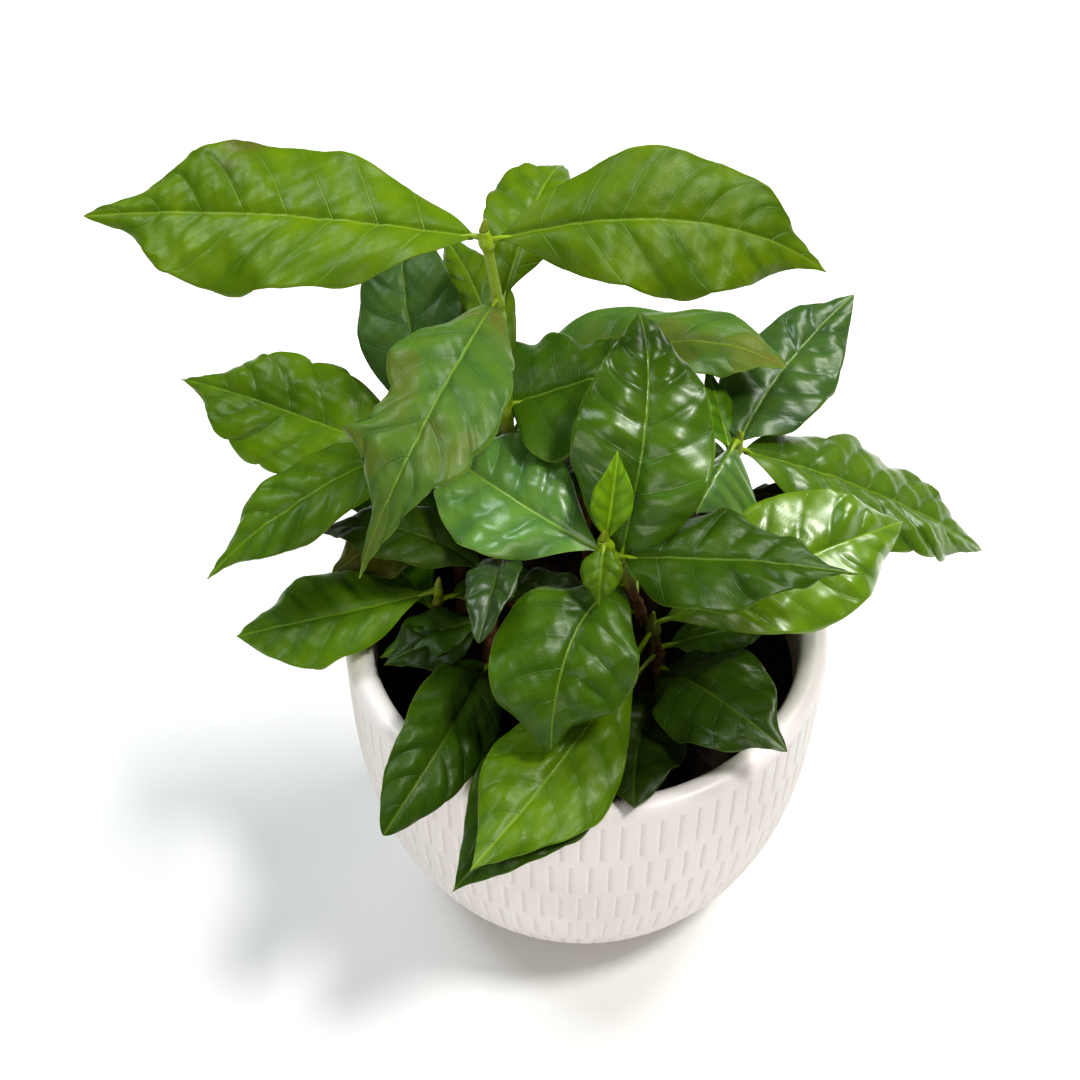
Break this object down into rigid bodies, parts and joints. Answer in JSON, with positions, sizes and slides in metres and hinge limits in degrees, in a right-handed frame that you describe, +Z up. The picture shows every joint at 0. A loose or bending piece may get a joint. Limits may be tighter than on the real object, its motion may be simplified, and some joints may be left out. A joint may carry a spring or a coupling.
{
  "type": "potted coffee plant",
  "caption": "Young arabica coffee plant, a clump of leafy seedlings with glossy pointed leaves, in a round glazed planter filled with soil.",
  "frame": {"origin": "centre of the planter's flat underside", "axes": "+Z up; the reference picture is taken from the -Y side, with +X to the right"},
  "size_m": [0.2623, 0.1911, 0.2331],
  "materials": {
    "glaze": "off-white satin glaze over pressed ceramic",
    "soil": "dark crumbly potting mix",
    "bark": "thin brown bark, green at the tips",
    "leaf_young": "glossy yellow-green young leaf",
    "leaf_fresh": "glossy fresh green leaf",
    "leaf_deep": "glossy dark green old leaf"
  },
  "bodies": {
    "root": {"pot": "glaze", "soil": "soil", "stem_tall": "bark", "foliage_tall": "leaf_young", "stem_centre": "bark", "foliage_centre": "leaf_fresh", "stem_front": "bark", "foliage_front": "leaf_fresh", "stem_small": "bark", "foliage_small": "leaf_deep", "stem_low_left": "bark", "foliage_low_left": "leaf_fresh", "stem_right": "bark", "foliage_right": "leaf_fresh", "stem_left": "bark", "foliage_left": "leaf_fresh", "stem_back": "bark", "foliage_back": "leaf_deep"}
  },
  "joints": []
}
